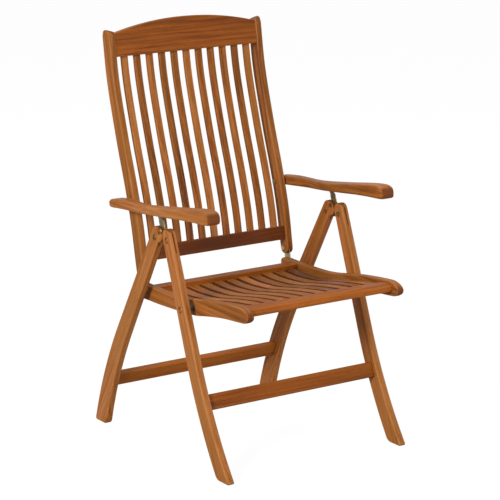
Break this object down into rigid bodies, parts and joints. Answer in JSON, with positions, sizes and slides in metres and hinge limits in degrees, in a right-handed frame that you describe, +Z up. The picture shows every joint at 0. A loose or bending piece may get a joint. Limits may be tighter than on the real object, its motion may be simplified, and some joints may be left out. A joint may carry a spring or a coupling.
{
  "type": "folding reclining armchair",
  "caption": "Folding wooden garden armchair with a slatted seat and high slatted back; notched armrests hook on pins to set the back angle.",
  "frame": {"origin": "on the floor, under the middle of the unfolded chair's bounding box", "axes": "+X to the sitter's left, -Y to the front, +Z up"},
  "size_m": [0.6014, 0.7062, 1.1123],
  "materials": {
    "frame_wood": "oiled hardwood, satin",
    "cross_wood": "oiled hardwood, satin",
    "slat_wood": "oiled hardwood, satin",
    "steel": "yellow zinc plated"
  },
  "bodies": {
    "front_frame": {"front_leg_left": "frame_wood", "front_leg_right": "frame_wood", "front_stretcher": "cross_wood", "leg_pivot_bolts": "steel", "seat_pivot_bolts": "steel", "seat_spacers": "steel"},
    "rear_frame": {"rear_leg_left": "frame_wood", "rear_leg_right": "frame_wood", "rear_stretcher": "cross_wood", "hook_plate_left": "steel", "hook_plate_right": "steel", "plate_bolts": "steel", "catch_pins": "steel"},
    "seat": {"seat_rail_left": "frame_wood", "seat_rail_right": "frame_wood", "seat_front_rail": "cross_wood", "seat_rear_rail": "cross_wood", "seat_slat_01": "slat_wood", "seat_slat_02": "slat_wood", "seat_slat_03": "slat_wood", "seat_slat_04": "slat_wood", "seat_slat_05": "slat_wood", "seat_slat_06": "slat_wood", "seat_slat_07": "slat_wood", "seat_slat_08": "slat_wood", "seat_slat_09": "slat_wood", "seat_slat_10": "slat_wood", "seat_slat_11": "slat_wood", "hinge_plate_left": "steel", "hinge_plate_right": "steel", "hinge_screws": "steel", "guide_bolts": "steel"},
    "recline_bolts": {"back_pivot_bolts": "steel"},
    "back": {"back_stile_left": "frame_wood", "back_stile_right": "frame_wood", "low_back_rail": "cross_wood", "crest_rail": "cross_wood", "back_slat_01": "slat_wood", "back_slat_02": "slat_wood", "back_slat_03": "slat_wood", "back_slat_04": "slat_wood", "back_slat_05": "slat_wood", "back_slat_06": "slat_wood", "back_slat_07": "slat_wood", "back_slat_08": "slat_wood", "back_slat_09": "slat_wood", "back_slat_10": "slat_wood", "back_slat_11": "slat_wood"},
    "bolt_left": {"armrest_bolt_left": "steel"},
    "washer_left": {"armrest_washer_left": "steel"},
    "arm_left": {"armrest_left": "frame_wood", "notched_rack_left": "steel", "rack_screws_left": "steel"},
    "bolt_right": {"armrest_bolt_right": "steel"},
    "washer_right": {"armrest_washer_right": "steel"},
    "arm_right": {"armrest_right": "frame_wood", "notched_rack_right": "steel", "rack_screws_right": "steel"}
  },
  "joints": [
    {"name": "leg_fold", "type": "hinge", "parent": "front_frame", "child": "rear_frame", "pos_m": [0, -0.035, 0.588], "axis": [-1, 0, 0], "range_deg": [0, 46]},
    {"name": "seat_fold", "type": "hinge", "parent": "front_frame", "child": "seat", "pos_m": [0, -0.09826, 0.41607], "axis": [-1, 0, 0], "range_deg": [0, 87.5]},
    {"name": "back_fold", "type": "hinge", "parent": "seat", "child": "recline_bolts", "pos_m": [0, 0.16914, 0.45807], "axis": [-1, 0, 0], "range_deg": [-83, 0]},
    {"name": "back_recline", "type": "hinge", "parent": "recline_bolts", "child": "back", "pos_m": [0, 0.16914, 0.45807], "axis": [-1, 0, 0], "range_deg": [0, 28]},
    {"name": "armrest_fold_left", "type": "hinge", "parent": "back", "child": "bolt_left", "pos_m": [0, 0.21384, 0.63957], "axis": [-1, 0, 0], "range_deg": [0, 98.1]},
    {"name": "armrest_follow_left", "type": "hinge", "parent": "bolt_left", "child": "washer_left", "pos_m": [0, 0.21384, 0.63957], "axis": [-1, 0, 0], "range_deg": [-20, 0]},
    {"name": "armrest_lift_left", "type": "hinge", "parent": "washer_left", "child": "arm_left", "pos_m": [0, 0.21384, 0.63957], "axis": [-1, 0, 0], "range_deg": [-1.45, 60]},
    {"name": "armrest_fold_right", "type": "hinge", "parent": "back", "child": "bolt_right", "pos_m": [0, 0.21384, 0.63957], "axis": [-1, 0, 0], "range_deg": [0, 98.1]},
    {"name": "armrest_follow_right", "type": "hinge", "parent": "bolt_right", "child": "washer_right", "pos_m": [0, 0.21384, 0.63957], "axis": [-1, 0, 0], "range_deg": [-20, 0]},
    {"name": "armrest_lift_right", "type": "hinge", "parent": "washer_right", "child": "arm_right", "pos_m": [0, 0.21384, 0.63957], "axis": [-1, 0, 0], "range_deg": [-1.45, 60]}
  ],
  "couplings": [
    {"joint": "seat_fold", "follows": "leg_fold", "ratio": 1.9},
    {"joint": "back_fold", "follows": "leg_fold", "ratio": -1.8},
    {"joint": "armrest_fold_left", "follows": "leg_fold", "ratio": 2.13},
    {"joint": "armrest_follow_left", "follows": "back_recline", "ratio": -0.71},
    {"joint": "armrest_fold_right", "follows": "leg_fold", "ratio": 2.13},
    {"joint": "armrest_follow_right", "follows": "back_recline", "ratio": -0.71}
  ]
}
